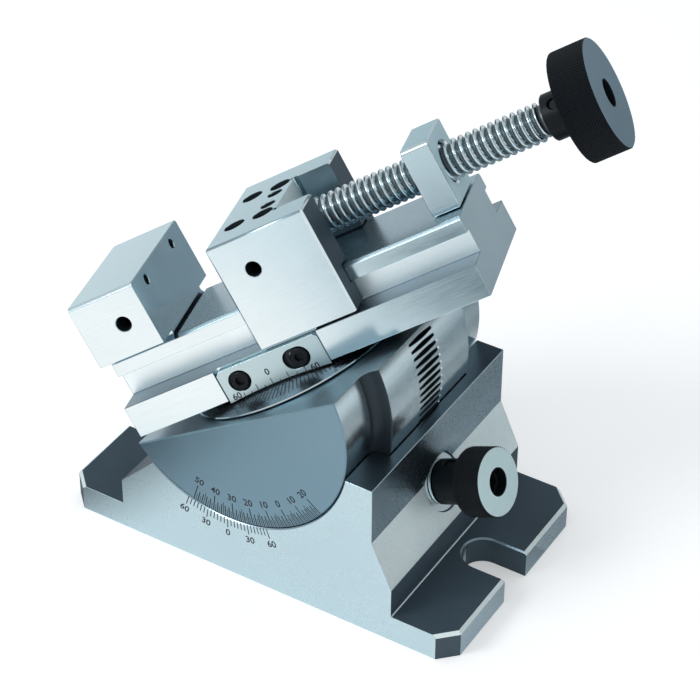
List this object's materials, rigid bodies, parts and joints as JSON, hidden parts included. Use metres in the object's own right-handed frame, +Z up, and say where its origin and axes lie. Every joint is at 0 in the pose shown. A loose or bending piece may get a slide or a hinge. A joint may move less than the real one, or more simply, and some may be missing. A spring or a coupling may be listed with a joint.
{
  "type": "two-axis angle vise",
  "caption": "Screw vise that swivels on a graduated disc and tilts on a worm-driven half drum in a slotted cradle.",
  "frame": {"origin": "centre of the cradle's flat underside", "axes": "+Z up, +X towards the worm knob's end of the cradle, +Y from the engraved front face to the back"},
  "size_m": [0.1557, 0.105, 0.1666],
  "materials": {
    "ground_steel": "ground, hardened steel",
    "shaded_steel": "ground, hardened steel",
    "jaw_steel": "finely ground, hardened steel",
    "graduated_steel": "ground, with engraved graduations",
    "blackened_steel": "black oxide, satin",
    "screw_steel": "bright, polished thread",
    "bearing_bronze": "machined bronze",
    "brass": "machined brass"
  },
  "bodies": {
    "base": {"base_block": "ground_steel", "worm_tail_bush": "bearing_bronze", "worm_sleeve": "screw_steel", "worm_sleeve_screw": "blackened_steel", "clamp_tee_nut_1": "blackened_steel", "clamp_tee_nut_2": "blackened_steel", "clamp_bolt_1": "blackened_steel", "clamp_bolt_2": "blackened_steel", "clamp_washer_1": "screw_steel", "clamp_washer_2": "screw_steel"},
    "drum": {"tilt_drum": "shaded_steel", "swivel_disc": "graduated_steel", "swivel_disc_screw_1": "blackened_steel", "swivel_disc_screw_2": "blackened_steel", "swivel_disc_screw_3": "blackened_steel", "swivel_disc_screw_4": "blackened_steel", "swivel_lock_screw": "blackened_steel", "swivel_lock_pad": "brass"},
    "vise": {"vise_body": "jaw_steel", "swivel_pivot": "screw_steel", "vernier_plate": "jaw_steel", "vernier_screw_1": "blackened_steel", "vernier_screw_2": "blackened_steel", "nut_block": "jaw_steel", "nut_screw_1": "blackened_steel", "nut_screw_2": "blackened_steel"},
    "jaw": {"movable_jaw": "jaw_steel", "slide_plate": "bearing_bronze", "jaw_screw_1": "blackened_steel", "jaw_screw_2": "blackened_steel", "jaw_screw_3": "blackened_steel", "jaw_screw_4": "blackened_steel", "retainer_pin_1": "blackened_steel", "retainer_pin_2": "blackened_steel"},
    "spindle": {"spindle": "screw_steel", "spindle_knob": "blackened_steel", "spindle_knob_screw": "blackened_steel"},
    "worm": {"worm_shaft": "screw_steel", "worm_knob": "blackened_steel", "worm_knob_screw": "blackened_steel", "worm_thrust_washer": "screw_steel"}
  },
  "joints": [
    {"name": "drum_tilt", "type": "hinge", "parent": "base", "child": "drum", "pos_m": [-0.009, 0, 0.064], "axis": [0, -1, 0], "range_deg": [-33, 12]},
    {"name": "worm_turn", "type": "hinge", "parent": "base", "child": "worm", "pos_m": [0.01174, 0, 0.01741], "axis": [-0.9135, 0, -0.4067], "range_deg": [-3960, 1440]},
    {"name": "vise_swivel", "type": "hinge", "parent": "drum", "child": "vise", "pos_m": [-0.009, 0, 0.064], "axis": [-0.5446, 0, 0.8387], "continuous": true},
    {"name": "jaw_slide", "type": "slide", "parent": "vise", "child": "jaw", "axis": [0.772, 0.3907, 0.5013], "range_m": [-0.0254, 0.028]},
    {"name": "spindle_turn", "type": "hinge", "parent": "jaw", "child": "spindle", "pos_m": [-0.02676, 0, 0.09134], "axis": [0.772, 0.3907, 0.5013], "range_deg": [-3960, 4320]}
  ],
  "couplings": [
    {"joint": "worm_turn", "follows": "drum_tilt", "ratio": 120},
    {"joint": "spindle_turn", "follows": "jaw_slide", "rad_per_m": 2618}
  ]
}
